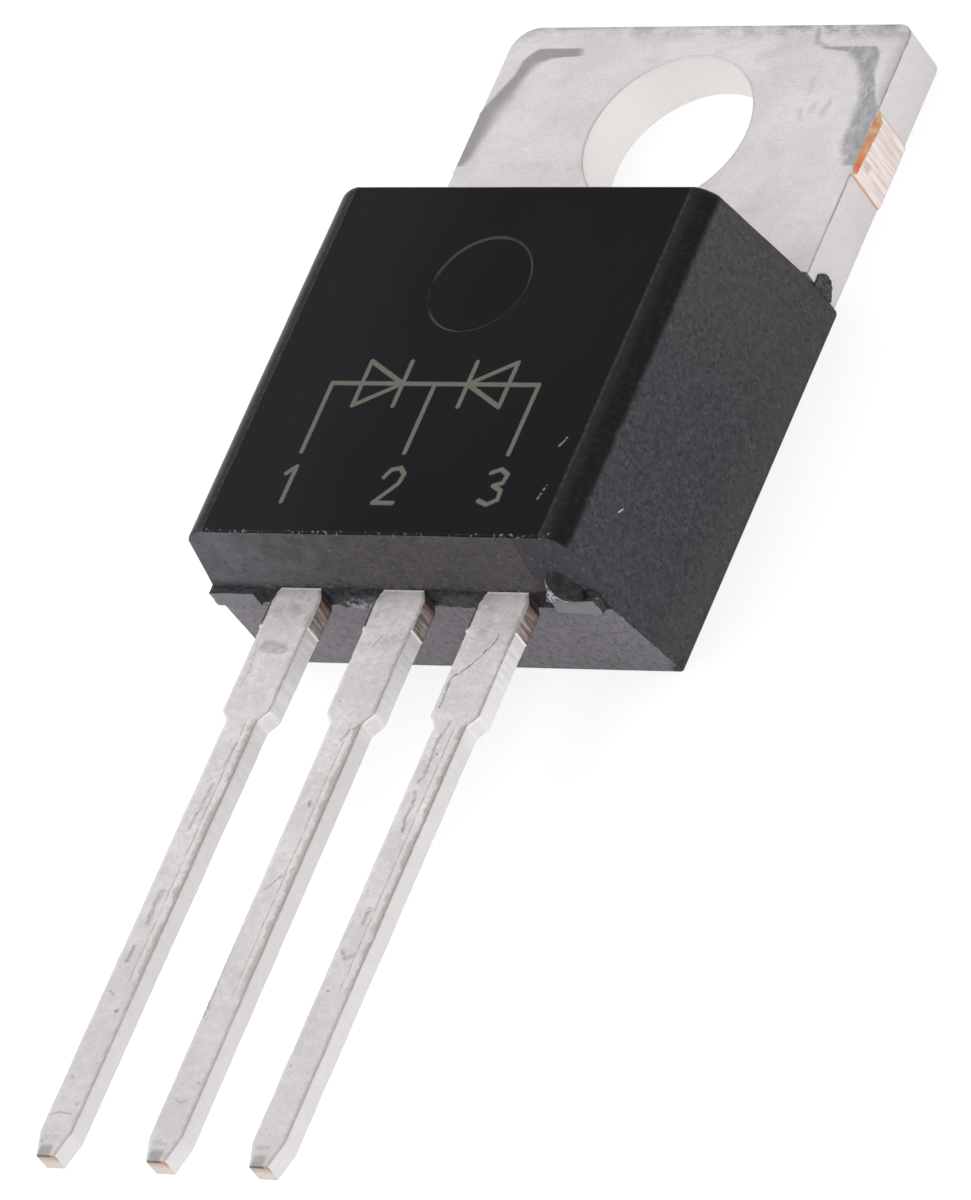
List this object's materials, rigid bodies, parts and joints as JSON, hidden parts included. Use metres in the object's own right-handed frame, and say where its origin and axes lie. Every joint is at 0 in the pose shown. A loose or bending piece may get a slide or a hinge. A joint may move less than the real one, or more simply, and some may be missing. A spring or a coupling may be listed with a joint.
{
  "type": "schottky diode",
  "caption": "Through-hole schottky rectifier: a flat black moulding with a drilled metal mounting tab and stamped flat leads.",
  "frame": {"origin": "centre of the mounting hole on the back face, where the part lies on its surface", "axes": "+Z along the hole towards the marked front face, +Y towards the tab's free end, leads along -Y, +X to the right seen from the front with the leads down"},
  "size_m": [0.01, 0.0291, 0.0046],
  "materials": {
    "epoxy_moulding": "glass-filled epoxy, polished front and fine matt walls",
    "tinned_copper": "matt tin plate over copper, bare copper where sheared",
    "silicon": "metallised silicon",
    "solder": "soft solder",
    "bond_wire": "drawn aluminium"
  },
  "bodies": {
    "root": {"molded_body": "epoxy_moulding", "cathode_frame": "tinned_copper", "anode_lead_left": "tinned_copper", "anode_lead_right": "tinned_copper", "schottky_die_left": "silicon", "schottky_die_right": "silicon", "die_solder_left": "solder", "die_solder_right": "solder", "bond_wire_left_outer": "bond_wire", "bond_wire_left_inner": "bond_wire", "bond_wire_right_inner": "bond_wire", "bond_wire_right_outer": "bond_wire"}
  },
  "joints": []
}
